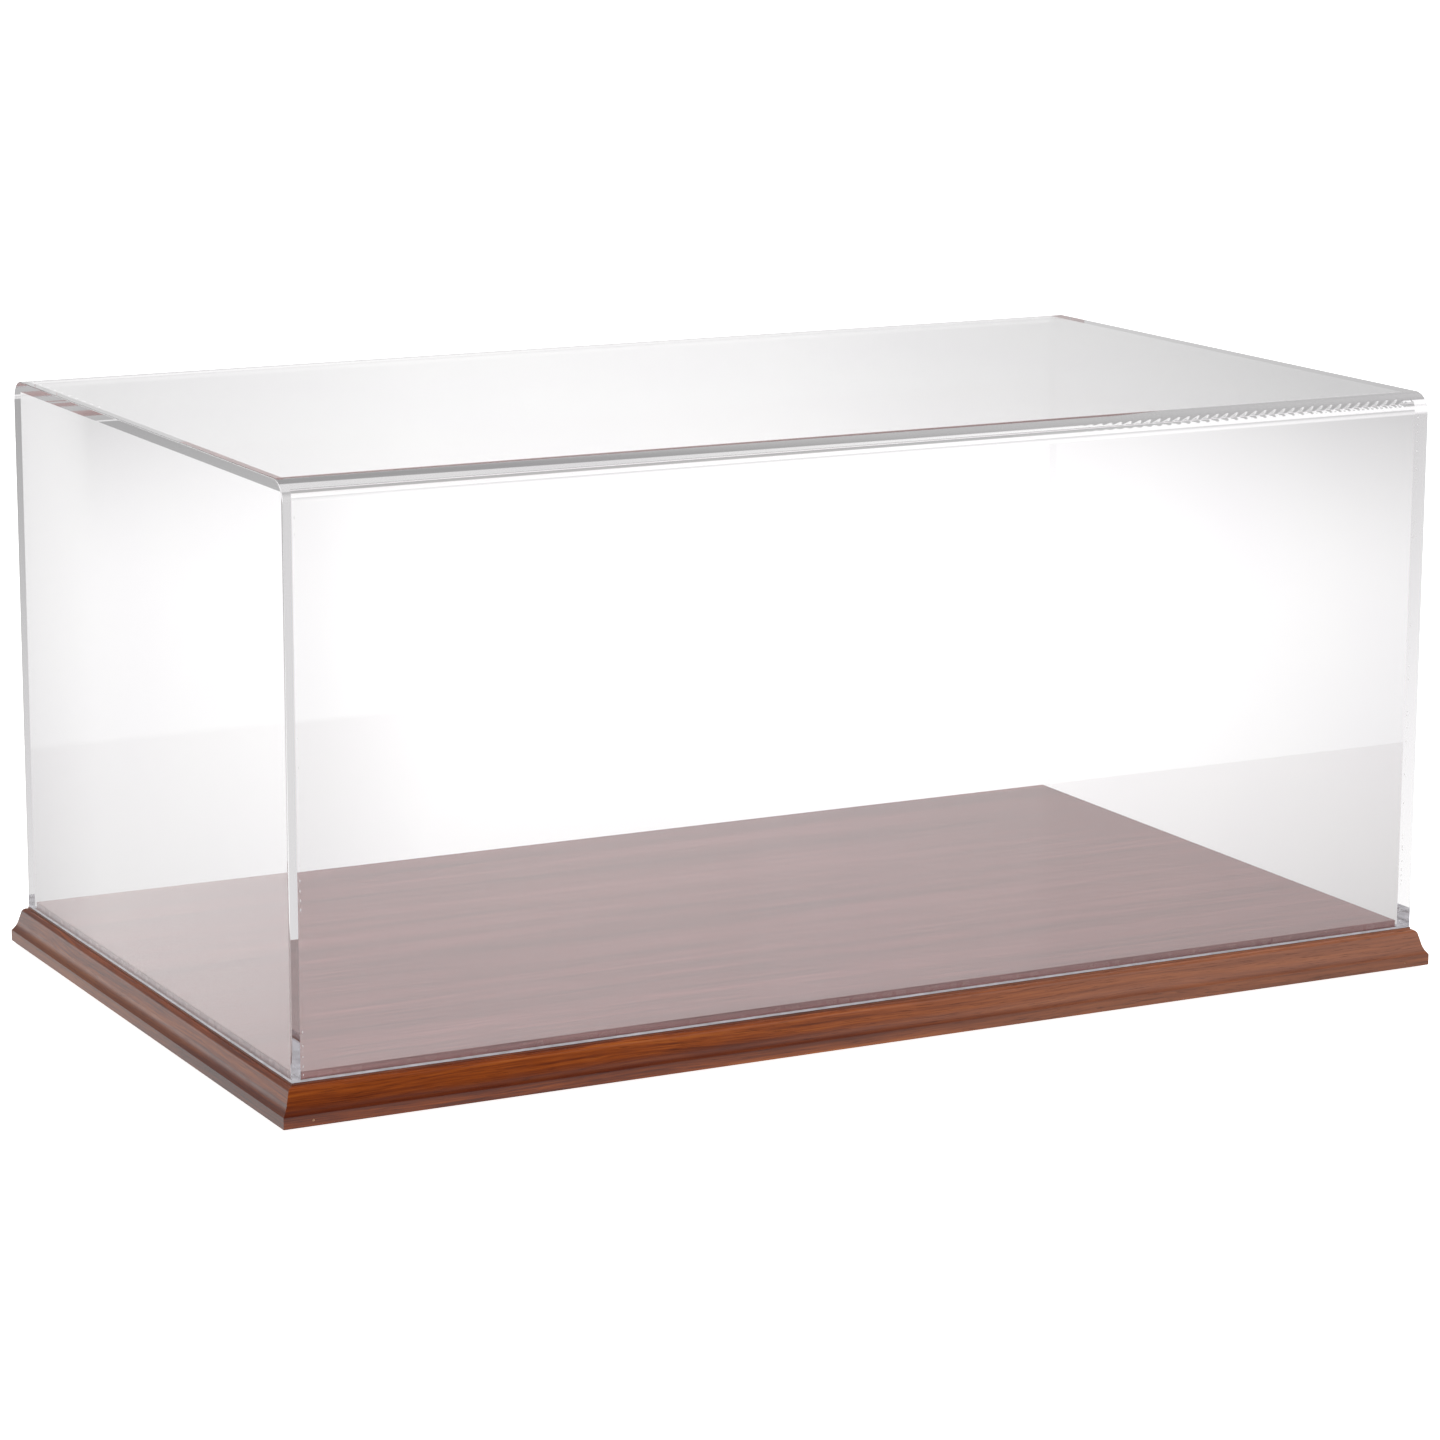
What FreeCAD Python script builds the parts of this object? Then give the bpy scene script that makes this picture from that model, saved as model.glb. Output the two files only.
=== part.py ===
import FreeCAD, Part
import math
import os
import Sketcher

# A display case: a clear acrylic cover that lifts straight off a moulded wooden base.
# Frame: X along the long side, the front at -Y, +Z up, the origin at the middle of the footprint on
# the plane the felt pads stand on. All lengths are in millimetres and all angles in degrees.

os.makedirs("parts", exist_ok=True)
doc = FreeCAD.newDocument("display_case")
Vector = FreeCAD.Vector


# ---------------------------------------------------------------- driving sizes

SIZES = [
    ("cover_length", 508.0, "cover, end face to end face"),
    ("cover_depth", 295.0, "cover, front face to back face"),
    ("cover_height", 227.0, "cover, bottom rim to top face"),
    ("sheet_thickness", 4.75, "acrylic sheet, 3/16 inch"),
    ("bend_radius", 8.5, "outer radius of the two heat bends"),
    ("inner_bend_radius", 0.4, "inner radius of the bends, where the sheet draws thinner"),
    ("edge_round", 0.4, "eased arris on the end panels' outer edges"),
    ("cement_thickness", 0.2, "cured cement film between wrap and end panel"),
    ("pad_height", 1.5, "felt pad thickness"),
    ("pad_radius", 7.0, "felt pad radius"),
    ("pad_inset", 15.0, "felt pad centre from the base's outer faces"),
    ("overhang", 6.0, "base outer face beyond the cover's face"),
    ("base_height", 15.6, "moulding, underside to the ledge the cover stands on"),
    ("moulding_width", 24.0, "moulding, outer face to inner edge of its shelf"),
    ("quirk_edge", 0.2, "ledge showing outside the cover's face"),
    ("quirk_height", 0.8, "small step between ledge and ogee"),
    ("crown_radius", 2.45, "convex top of the ogee"),
    ("ogee_lean", 15.0, "lean of the ogee's flank from the vertical"),
    ("cove_start", 2.3, "where the hollow begins, from the outer face"),
    ("cove_end_lean", 43.0, "lean of the hollow where it meets the outer face"),
    ("arris_round", 0.35, "softened arris above the plain outer face"),
    ("rabbet_depth", 6.0, "ledge down to the shelf under the deck"),
    ("deck_inset", 5.3, "deck edge inside the cover's outer face"),
    ("deck_thickness", 9.0, "deck panel with both veneers"),
    ("veneer_thickness", 0.6, "veneers and edge bands"),
    ("veneer_round", 0.25, "sanded top arris of the deck"),
    ("screw_head_radius", 3.5, "countersunk head"),
    ("screw_shank_radius", 1.75, "shank"),
    ("screw_length", 16.0, "head face to tip"),
    ("screw_tip_length", 3.0, "tapered tip"),
    ("screw_sink", 0.3, "head face above the moulding's underside"),
    ("screw_clearance_radius", 2.0, "clearance hole in the moulding's shelf"),
    ("screw_recess_half", 2.0, "half length of the cross recess"),
    ("screw_recess_width", 0.9, "width of each recess arm"),
    ("screw_recess_depth", 1.3, "depth of the recess"),
    ("long_side_screw_pitch", 180.0, "three screws along front and back"),
    ("end_screw_pitch", 140.0, "two screws along each end"),
    ("brad_radius", 0.5, "brad shank"),
    ("brad_length", 19.0, "brad, head to tip"),
    ("brad_tip_length", 1.2, "brad point"),
    ("brad_inset", 12.0, "brad axis from the base's end faces"),
    ("brad_level", 2.3, "brad axis above the moulding's underside"),
    ("filler_length", 0.8, "filler plug over each brad head"),
]

sheet = doc.addObject("Spreadsheet::Sheet", "Sizes")
for row, (alias, number, note) in enumerate(SIZES, start=1):
    sheet.set("A%d" % row, alias)
    sheet.set("B%d" % row, str(number))
    sheet.set("C%d" % row, note)
    sheet.setAlias("B%d" % row, alias)
doc.recompute()


class Size:
    """A number that carries its own spreadsheet formula, so that one sum gives both."""

    def __init__(self, number, formula=None):
        self.number = float(number)
        self.formula = formula if formula else "%.9g" % number

    def _join(self, other, sign, number):
        return Size(number, "(%s %s %s)" % (self.formula, sign, other.formula))

    def __add__(self, other):
        other = as_size(other)
        return self._join(other, "+", self.number + other.number)

    def __sub__(self, other):
        other = as_size(other)
        return self._join(other, "-", self.number - other.number)

    def __mul__(self, other):
        other = as_size(other)
        return self._join(other, "*", self.number * other.number)

    def __truediv__(self, other):
        other = as_size(other)
        return self._join(other, "/", self.number / other.number)

    def __neg__(self):
        return Size(-self.number, "(0 - %s)" % self.formula)

    def sin(self):
        return Size(math.sin(math.radians(self.number)), "sin(%s * 1deg)" % self.formula)

    def cos(self):
        return Size(math.cos(math.radians(self.number)), "cos(%s * 1deg)" % self.formula)

    def tan(self):
        return Size(math.tan(math.radians(self.number)), "tan(%s * 1deg)" % self.formula)


def as_size(value):
    return value if isinstance(value, Size) else Size(value)


S = {alias: Size(number, "Sizes." + alias) for alias, number, note in SIZES}
ZERO = Size(0.0)

# Sizes that follow from the driving ones
base_length = S["cover_length"] + S["overhang"] * 2
base_depth = S["cover_depth"] + S["overhang"] * 2
ledge_level = S["pad_height"] + S["base_height"]
shelf_height = S["base_height"] - S["rabbet_depth"]
shelf_level = S["pad_height"] + shelf_height
deck_length = S["cover_length"] - S["deck_inset"] * 2
deck_depth = S["cover_depth"] - S["deck_inset"] * 2
core_thickness = S["deck_thickness"] - S["veneer_thickness"] * 2
wrap_length = S["cover_length"] - (S["sheet_thickness"] + S["cement_thickness"]) * 2
rabbet_wall = S["overhang"] + S["deck_inset"]
shelf_middle = (rabbet_wall + S["moulding_width"]) / 2
screw_into_core = (
    S["screw_sink"] + S["screw_length"] - shelf_height - S["veneer_thickness"]
)
countersink_radius = S["screw_head_radius"] + S["screw_sink"]


# ---------------------------------------------------------------- helpers

def new_body(label):
    body = doc.addObject("PartDesign::Body", label)
    body.Label = label
    return body


def new_sketch(body, role):
    """A sketch flat on one of the body's own origin planes."""
    sketch = body.newObject("Sketcher::SketchObject", body.Name + "_sketch")
    plane = [item for item in body.Origin.OriginFeatures if item.Role == role][0]
    sketch.AttachmentSupport = [(plane, "")]
    sketch.MapMode = "FlatFace"
    return sketch


def drive(sketch, kind, items, size):
    """Add one dimension to a sketch and bind it to the spreadsheet."""
    index = sketch.addConstraint(Sketcher.Constraint(kind, *items, size.number))
    name = "d%d" % index
    sketch.renameConstraint(index, name)
    sketch.setExpression("Constraints." + name, size.formula)


def drive_point(sketch, edge, end, point):
    drive(sketch, "DistanceX", (-1, 1, edge, end), as_size(point[0]))
    drive(sketch, "DistanceY", (-1, 1, edge, end), as_size(point[1]))


def arc_between(start, end, radius, centre_side):
    """The short arc from start to end; centre_side is +1 with its centre left of the way, -1 right."""
    half = (end - start) * 0.5
    reach = math.sqrt(max(radius ** 2 - half.Length ** 2, 0.0))
    left = Vector(-half.y, half.x, 0).normalize()
    centre = start + half + left * (reach * centre_side)
    first, last = (start, end) if centre_side > 0 else (end, start)
    first_angle = math.atan2(first.y - centre.y, first.x - centre.x)
    last_angle = math.atan2(last.y - centre.y, last.x - centre.x)
    circle = Part.Circle(centre, Vector(0, 0, 1), radius)
    return Part.ArcOfCircle(circle, first_angle, last_angle)


def outline(sketch, corners, arcs=None):
    """A closed outline through corners; arcs maps an edge's number to (radius, centre_side)."""
    arcs = arcs or {}
    corners = [(as_size(x), as_size(y)) for x, y in corners]
    points = [Vector(x.number, y.number, 0) for x, y in corners]
    count = len(points)
    ends = []
    for i in range(count):
        start, end = points[i], points[(i + 1) % count]
        if i in arcs:
            radius, centre_side = arcs[i]
            edge = sketch.addGeometry(arc_between(start, end, radius.number, centre_side), False)
            ends.append((edge, 1, 2) if centre_side > 0 else (edge, 2, 1))
        else:
            edge = sketch.addGeometry(Part.LineSegment(start, end), False)
            ends.append((edge, 1, 2))
    for i in range(count):
        edge, first, last = ends[i]
        following = ends[(i + 1) % count]
        sketch.addConstraint(
            Sketcher.Constraint("Coincident", edge, last, following[0], following[1]))
    for i in range(count):
        edge, first, last = ends[i]
        drive_point(sketch, edge, first, corners[i])
        if i in arcs:
            drive(sketch, "Radius", (edge,), arcs[i][0])


def rectangle(sketch, x_low, x_high, y_low, y_high):
    outline(sketch, [(x_low, y_low), (x_high, y_low), (x_high, y_high), (x_low, y_high)])


def circle(sketch, x, y, radius):
    x, y = as_size(x), as_size(y)
    centre = Vector(x.number, y.number, 0)
    edge = sketch.addGeometry(Part.Circle(centre, Vector(0, 0, 1), radius.number), False)
    drive(sketch, "Radius", (edge,), radius)
    drive_point(sketch, edge, 3, (x, y))


def pad(body, sketch, length, symmetric=False):
    feature = body.newObject("PartDesign::Pad", body.Name + "_pad")
    feature.Profile = sketch
    feature.setExpression("Length", length.formula)
    if symmetric:
        feature.SideType = "Symmetric"
    body.Tip = feature
    return feature


def pocket(body, sketch, depth=None, reverse=False):
    """Cut a sketch to a depth, or through everything when no depth is given."""
    feature = body.newObject("PartDesign::Pocket", body.Name + "_pocket")
    feature.Profile = sketch
    if depth is None:
        feature.Type = "ThroughAll"
    else:
        feature.setExpression("Length", depth.formula)
    feature.Reversed = reverse
    body.Tip = feature
    return feature


def turned(body, half_profile):
    """Revolve a half profile of (radius, height) corners about the body's Z axis."""
    sketch = new_sketch(body, "XZ_Plane")
    outline(sketch, half_profile)
    feature = body.newObject("PartDesign::Revolution", body.Name + "_turned")
    feature.Profile = sketch
    feature.ReferenceAxis = (sketch, ["V_Axis"])
    feature.Angle = 360.0
    body.Tip = feature
    return feature


def fillet(body, feature, radius, chosen):
    """Round the edges of a feature whose box passes the test chosen."""
    doc.recompute()
    names = []
    for number, edge in enumerate(feature.Shape.Edges, start=1):
        if chosen(edge.BoundBox):
            names.append("Edge%d" % number)
    rounded = body.newObject("PartDesign::Fillet", body.Name + "_round")
    rounded.Base = (feature, names)
    rounded.setExpression("Radius", radius.formula)
    body.Tip = rounded
    return rounded


def same(a, b):
    return abs(a - b) < 1e-4


def place(item, x, y, z, axis=Vector(0, 0, 1), angle=0.0):
    """Set an object's place, with its position bound to the spreadsheet."""
    x, y, z = as_size(x), as_size(y), as_size(z)
    position = Vector(x.number, y.number, z.number)
    item.Placement = FreeCAD.Placement(position, FreeCAD.Rotation(axis, angle))
    item.setExpression("Placement.Base.x", x.formula)
    item.setExpression("Placement.Base.y", y.formula)
    item.setExpression("Placement.Base.z", z.formula)


def copies(label, source, spots):
    """One node made of several equal solids, each a link to the source; spots are place() values."""
    links = []
    for spot in spots:
        link = doc.addObject("App::Link", label + "_link")
        link.LinkedObject = source
        place(link, *spot)
        links.append(link)
    group = doc.addObject("Part::Compound", label)
    group.Label = label
    group.Links = links
    return group


nodes = []


def keep(item, *spot):
    """Put a sub-part on the list of nodes to write, at its place in the case."""
    if spot:
        place(item, *spot)
    nodes.append(item)


# ---------------------------------------------------------------- cover

def sheet_section(sketch):
    """The bent sheet's cut end: two walls and a top, joined by two bends."""
    half = S["cover_depth"] / 2
    thick = S["sheet_thickness"]
    high = S["cover_height"]
    bend = S["bend_radius"]
    inner = S["inner_bend_radius"]
    start = thick + inner
    corners = [
        (-half, ZERO),
        (-half, high - bend),
        (-half + bend, high),
        (half - bend, high),
        (half, high - bend),
        (half, ZERO),
        (half - thick, ZERO),
        (half - thick, high - start),
        (half - start, high - thick),
        (-half + start, high - thick),
        (-half + thick, high - start),
        (-half + thick, ZERO),
    ]
    outline(sketch, corners, {1: (bend, -1), 3: (bend, -1), 7: (inner, 1), 9: (inner, 1)})


def make_wrap():
    body = new_body("cover_wrap")
    sketch = new_sketch(body, "YZ_Plane")
    sheet_section(sketch)
    pad(body, sketch, wrap_length, symmetric=True)
    return body


def make_cement(label):
    body = new_body(label)
    sketch = new_sketch(body, "YZ_Plane")
    sheet_section(sketch)
    pad(body, sketch, S["cement_thickness"])
    return body


def make_end_panel(label):
    """A flat end whose outer face is at x = 0 and looks along -X."""
    body = new_body(label)
    sketch = new_sketch(body, "YZ_Plane")
    half = S["cover_depth"] / 2
    high = S["cover_height"]
    bend = S["bend_radius"]
    corners = [
        (-half, ZERO),
        (-half, high - bend),
        (-half + bend, high),
        (half - bend, high),
        (half, high - bend),
        (half, ZERO),
    ]
    outline(sketch, corners, {1: (bend, -1), 3: (bend, -1)})
    plate = pad(body, sketch, S["sheet_thickness"])
    fillet(
        body, plate, S["edge_round"],
        lambda box: same(box.XMin, 0) and same(box.XMax, 0) and box.ZMax > 1.0)
    return body


cover_end = S["cover_length"] / 2
inner_end = cover_end - S["sheet_thickness"]
keep(make_wrap(), ZERO, ZERO, ledge_level)
keep(make_end_panel("left_end_panel"), -cover_end, ZERO, ledge_level)
keep(make_end_panel("right_end_panel"), cover_end, ZERO, ledge_level, Vector(0, 0, 1), 180.0)
keep(make_cement("left_seam_cement"), -inner_end, ZERO, ledge_level)
keep(make_cement("right_seam_cement"), inner_end - S["cement_thickness"], ZERO, ledge_level)


# ---------------------------------------------------------------- mouldings

def moulding_section(sketch):
    """Ogee outside at y = 0, ledge on top, and a rabbet and shelf inside for the deck."""
    lean = S["ogee_lean"]
    crown = S["crown_radius"]
    crown_y = S["overhang"] - S["quirk_edge"]
    crown_z = S["base_height"] - S["quirk_height"] - crown
    flank_y = crown_y - crown * lean.cos()
    flank_z = crown_z + crown * lean.sin()
    cove_z = flank_z - (flank_y - S["cove_start"]) / lean.tan()
    cove_radius = S["cove_start"] / (lean.cos() - S["cove_end_lean"].cos())
    face_z = cove_z - cove_radius * (S["cove_end_lean"].sin() - lean.sin())
    corners = [
        (ZERO, ZERO),
        (ZERO, face_z),
        (S["cove_start"], cove_z),
        (flank_y, flank_z),
        (crown_y, crown_z + crown),
        (crown_y, S["base_height"]),
        (rabbet_wall, S["base_height"]),
        (rabbet_wall, shelf_height),
        (S["moulding_width"], shelf_height),
        (S["moulding_width"], ZERO),
    ]
    outline(sketch, corners, {1: (cove_radius, 1), 3: (crown, -1)})
    return face_z


def make_moulding(label, length, screw_spots, brads_enter):
    """A mitred strip along X, outer face at y = 0, underside at z = 0.

    brads_enter is True on the strips whose outer face the brads are driven through, and False on
    the strips that take their points.
    """
    body = new_body(label)
    section = new_sketch(body, "YZ_Plane")
    face_z = moulding_section(section)
    strip = pad(body, section, length, symmetric=True)

    fillet(
        body, strip, S["arris_round"],
        lambda box: same(box.YMax, 0) and same(box.ZMin, face_z.number) and box.XLength > 10)

    half = length / 2
    over = Size(1.0)
    wide = S["moulding_width"] + over
    mitre = new_sketch(body, "XY_Plane")
    for side in (-1, 1):
        tip = (half + over) * side
        heel = (half - wide) * side
        outline(mitre, [(tip, -over), (heel, wide), (tip, wide)])
    pocket(body, mitre, reverse=True)

    holes = new_sketch(body, "XY_Plane")
    for x in screw_spots:
        circle(holes, x, shelf_middle, S["screw_clearance_radius"])
    doc.recompute()
    sunk = body.newObject("PartDesign::Hole", body.Name + "_hole")
    sunk.Profile = holes
    sunk.Reversed = True
    sunk.DepthType = "ThroughAll"
    sunk.setExpression("Diameter", (S["screw_clearance_radius"] * 2).formula)
    sunk.HoleCutType = "Countersink"
    sunk.HoleCutCustomValues = True
    sunk.setExpression("HoleCutDiameter", (countersink_radius * 2).formula)
    sunk.HoleCutCountersinkAngle = 90.0
    body.Tip = sunk

    if brads_enter:
        entry = new_sketch(body, "XZ_Plane")
        for side in (-1, 1):
            circle(entry, (half - S["brad_inset"]) * side, S["brad_level"], S["brad_radius"])
        pocket(body, entry, S["brad_inset"] + over)
    else:
        reach = half - (S["filler_length"] + S["brad_length"])
        for side in (-1, 1):
            bore = new_sketch(body, "XZ_Plane")
            low = S["brad_level"]
            rectangle(bore, reach * side, (half + over) * side, low, low + S["brad_radius"])
            bore.AttachmentOffset = FreeCAD.Placement(
                Vector(0, 0, -S["brad_inset"].number), FreeCAD.Rotation())
            bore.setExpression("AttachmentOffset.Base.z", (-S["brad_inset"]).formula)
            groove = body.newObject("PartDesign::Groove", body.Name + "_groove")
            groove.Profile = bore
            groove.ReferenceAxis = (bore, ["Edge1"])
            groove.Angle = 360.0
            body.Tip = groove
    return body


long_spots = [-S["long_side_screw_pitch"], ZERO, S["long_side_screw_pitch"]]
end_spots = [-S["end_screw_pitch"] / 2, S["end_screw_pitch"] / 2]
front = base_depth / 2
end = base_length / 2
UP = Vector(0, 0, 1)
keep(make_moulding("front_moulding", base_length, long_spots, True),
     ZERO, -front, S["pad_height"])
keep(make_moulding("back_moulding", base_length, long_spots, True),
     ZERO, front, S["pad_height"], UP, 180.0)
keep(make_moulding("left_moulding", base_depth, end_spots, False),
     -end, ZERO, S["pad_height"], UP, -90.0)
keep(make_moulding("right_moulding", base_depth, end_spots, False),
     end, ZERO, S["pad_height"], UP, 90.0)


# ---------------------------------------------------------------- deck

screw_row = front - shelf_middle
screw_column = end - shelf_middle
deck_screw_spots = []
for side in (-1, 1):
    deck_screw_spots += [(x, screw_row * side) for x in long_spots]
    deck_screw_spots += [(screw_column * side, y) for y in end_spots]


def make_plate(label, length, depth, thickness):
    """A flat plate standing on z = 0, centred on the origin."""
    body = new_body(label)
    sketch = new_sketch(body, "XY_Plane")
    rectangle(sketch, -length / 2, length / 2, -depth / 2, depth / 2)
    pad(body, sketch, thickness)
    return body


def drill(body, depth):
    """Screw holes up into a deck layer from its underside."""
    sketch = new_sketch(body, "XY_Plane")
    for x, y in deck_screw_spots:
        circle(sketch, x, y, S["screw_shank_radius"])
    pocket(body, sketch, depth, reverse=True)


band = S["veneer_thickness"]
core_level = shelf_level + band

core = make_plate("deck_core", deck_length - band * 2, deck_depth - band * 2, core_thickness)
drill(core, screw_into_core)
keep(core, ZERO, ZERO, core_level)

backer = make_plate("deck_backer", deck_length, deck_depth, band)
drill(backer, None)
keep(backer, ZERO, ZERO, shelf_level)

veneer = make_plate("deck_veneer", deck_length, deck_depth, band)
fillet(
    veneer, veneer.Tip, S["veneer_round"],
    lambda box: same(box.ZMin, band.number) and same(box.ZMax, band.number))
keep(veneer, ZERO, ZERO, core_level + core_thickness)

for side, name in ((-1, "front_edge_band"), (1, "back_edge_band")):
    strip = make_plate(name, deck_length, band, core_thickness)
    keep(strip, ZERO, (deck_depth - band) / 2 * side, core_level)
for side, name in ((-1, "left_edge_band"), (1, "right_edge_band")):
    strip = make_plate(name, band, deck_depth - band * 2, core_thickness)
    keep(strip, (deck_length - band) / 2 * side, ZERO, core_level)


# ---------------------------------------------------------------- fasteners and pads

screw = new_body("deck_screw")
head, shank = S["screw_head_radius"], S["screw_shank_radius"]
turned(screw, [
    (ZERO, ZERO),
    (head, ZERO),
    (shank, head - shank),
    (shank, S["screw_length"] - S["screw_tip_length"]),
    (ZERO, S["screw_length"]),
])
recess = new_sketch(screw, "XY_Plane")
arm, half_slot = S["screw_recess_half"], S["screw_recess_width"] / 2
outline(recess, [
    (arm, -half_slot), (arm, half_slot), (half_slot, half_slot), (half_slot, arm),
    (-half_slot, arm), (-half_slot, half_slot), (-arm, half_slot), (-arm, -half_slot),
    (-half_slot, -half_slot), (-half_slot, -arm), (half_slot, -arm), (half_slot, -half_slot),
])
pocket(screw, recess, S["screw_recess_depth"], reverse=True)
screw_level = S["pad_height"] + S["screw_sink"]
keep(copies("deck_screws", screw, [(x, y, screw_level) for x, y in deck_screw_spots]))

brad = new_body("brad")
thin = S["brad_radius"]
turned(brad, [
    (ZERO, ZERO),
    (thin, ZERO),
    (thin, S["brad_length"] - S["brad_tip_length"]),
    (ZERO, S["brad_length"]),
])
plug = doc.addObject("Part::Cylinder", "plug")
plug.setExpression("Radius", thin.formula)
plug.setExpression("Height", S["filler_length"].formula)

brad_x = end - S["brad_inset"]
brad_z = S["pad_height"] + S["brad_level"]
brad_spots, plug_spots = [], []
for along in (-1, 1):
    for side, angle in ((-1, -90.0), (1, 90.0)):
        spot = (brad_x * along, (front - S["filler_length"]) * side, brad_z)
        brad_spots.append(spot + (Vector(1, 0, 0), angle))
        plug_spots.append((brad_x * along, front * side, brad_z, Vector(1, 0, 0), angle))
keep(copies("corner_brads", brad, brad_spots))
keep(copies("brad_filler", plug, plug_spots))

pad_disc = doc.addObject("Part::Cylinder", "pad_disc")
pad_disc.setExpression("Radius", S["pad_radius"].formula)
pad_disc.setExpression("Height", S["pad_height"].formula)
pad_x = end - S["pad_inset"]
pad_y = front - S["pad_inset"]
keep(copies("felt_pads", pad_disc, [(pad_x * a, pad_y * b, ZERO) for a in (-1, 1) for b in (-1, 1)]))


# ---------------------------------------------------------------- check and write

doc.recompute()

for item in doc.Objects:
    if "Invalid" in item.State or "Error" in item.State:
        raise RuntimeError("feature failed: %s %s" % (item.Name, item.State))

for node in nodes:
    shape = node.Shape
    if shape.isNull() or not shape.isValid() or not shape.Solids:
        raise RuntimeError("bad shape: " + node.Label)
    shape.exportStep("parts/%s.step" % node.Label)
    print("%-18s solids %2d  volume %10.1f mm3" % (node.Label, len(shape.Solids), shape.Volume))
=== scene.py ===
import math
import random

import bpy
from mathutils import Matrix, Vector


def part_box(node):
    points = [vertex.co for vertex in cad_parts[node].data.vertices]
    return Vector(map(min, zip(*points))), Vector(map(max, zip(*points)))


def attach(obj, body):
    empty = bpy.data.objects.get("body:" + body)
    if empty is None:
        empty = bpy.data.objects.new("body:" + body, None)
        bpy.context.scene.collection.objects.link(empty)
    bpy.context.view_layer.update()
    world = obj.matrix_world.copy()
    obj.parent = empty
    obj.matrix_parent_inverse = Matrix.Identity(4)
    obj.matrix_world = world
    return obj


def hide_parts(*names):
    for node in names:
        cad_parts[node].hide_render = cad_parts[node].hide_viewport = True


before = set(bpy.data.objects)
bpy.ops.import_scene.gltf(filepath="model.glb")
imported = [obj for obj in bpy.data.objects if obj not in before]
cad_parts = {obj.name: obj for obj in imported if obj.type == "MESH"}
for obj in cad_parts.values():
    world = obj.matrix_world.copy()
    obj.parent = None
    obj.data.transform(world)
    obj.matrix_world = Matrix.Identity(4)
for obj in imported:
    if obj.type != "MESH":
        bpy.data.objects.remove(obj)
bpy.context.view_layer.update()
random.seed(7)

MM = 0.001
scene = bpy.context.scene


# ---------------------------------------------------------------- node helpers

class Graph:
    """Short calls for building the nodes of one material, or of the world."""

    def __init__(self, owner, output="ShaderNodeOutputMaterial"):
        owner.use_nodes = True
        self.tree = owner.node_tree
        self.tree.nodes.clear()
        self.out = self.add(output)

    def add(self, kind, settings=None, **inputs):
        node = self.tree.nodes.new(kind)
        for name, value in (settings or {}).items():
            setattr(node, name, value)
        for name, value in inputs.items():
            self.put(node.inputs[name.replace("_", " ")], value)
        return node

    def put(self, socket, value):
        if isinstance(value, bpy.types.NodeSocket):
            self.tree.links.new(value, socket)
        elif isinstance(value, bpy.types.Node):
            self.tree.links.new(value.outputs[0], socket)
        else:
            socket.default_value = value

    def fill(self, node, *values):
        """Gives a node's first inputs these values, in order."""
        for i, value in enumerate(values):
            self.put(node.inputs[i], value)
        return node

    def math(self, operation, *values):
        return self.fill(self.add("ShaderNodeMath", {"operation": operation}), *values).outputs[0]

    def product(self, first, *others):
        for other in others:
            first = self.math("MULTIPLY", first, other)
        return first

    def total(self, first, *others):
        for other in others:
            first = self.math("ADD", first, other)
        return first

    def between(self, share, low, high):
        """The number low where share is 0, and high where it is 1."""
        return self.total(self.product(low, self.math("SUBTRACT", 1.0, share)), self.product(high, share))

    def span(self, value, low, high, to_low=0.0, to_high=1.0, smooth=False):
        """A value from low to high, carried over to to_low to to_high."""
        kind = "SMOOTHSTEP" if smooth else "LINEAR"
        node = self.add("ShaderNodeMapRange", {"interpolation_type": kind})
        return self.fill(node, value, low, high, to_low, to_high).outputs[0]

    def mix(self, share, first, second):
        node = self.add("ShaderNodeMix", {"data_type": "RGBA", "blend_type": "MIX"})
        self.put(node.inputs[0], share)
        self.put(node.inputs[6], first)
        self.put(node.inputs[7], second)
        return node.outputs[2]

    def mix_shaders(self, share, first, second):
        return self.fill(self.add("ShaderNodeMixShader"), share, first, second)

    def place(self):
        return self.add("ShaderNodeTexCoord").outputs["Object"]

    def along(self, vector, axis):
        """One of a vector's three numbers."""
        return self.add("ShaderNodeSeparateXYZ", Vector=vector).outputs[axis]

    def noise(self, vector, scale, detail=2.0, roughness=0.5):
        """Cloudy noise with scale clouds a metre: one number, or one for each axis."""
        if isinstance(scale, tuple):
            vector = self.add("ShaderNodeMapping", Vector=vector, Scale=scale)
            scale = 1.0
        node = self.add("ShaderNodeTexNoise", Vector=vector, Scale=scale, Detail=detail,
                        Roughness=roughness)
        return node.outputs[0]

    def bump(self, height, strength, distance):
        return self.add("ShaderNodeBump", Strength=strength, Distance=distance, Height=height)

    def ramp(self, value, stops):
        """A colour by value, from stops of (place, colour)."""
        node = self.fill(self.add("ShaderNodeValToRGB"), value)
        elements = node.color_ramp.elements
        while len(elements) < len(stops):
            elements.new(0.5)
        for element, (place, colour) in zip(elements, stops):
            element.position = place
            element.color = colour
        return node.outputs[0]

    def end(self, shader):
        self.fill(self.out, shader)


def rgb(red, green, blue):
    """A colour given as 0 to 255 on screen, in the renderer's linear numbers."""
    def linear(v):
        v /= 255.0
        return v / 12.92 if v <= 0.04045 else ((v + 0.055) / 1.055) ** 2.4
    return (linear(red), linear(green), linear(blue), 1.0)


def set_material(obj, material):
    obj.data.materials.clear()
    obj.data.materials.append(material)


# ---------------------------------------------------------------- materials

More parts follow.
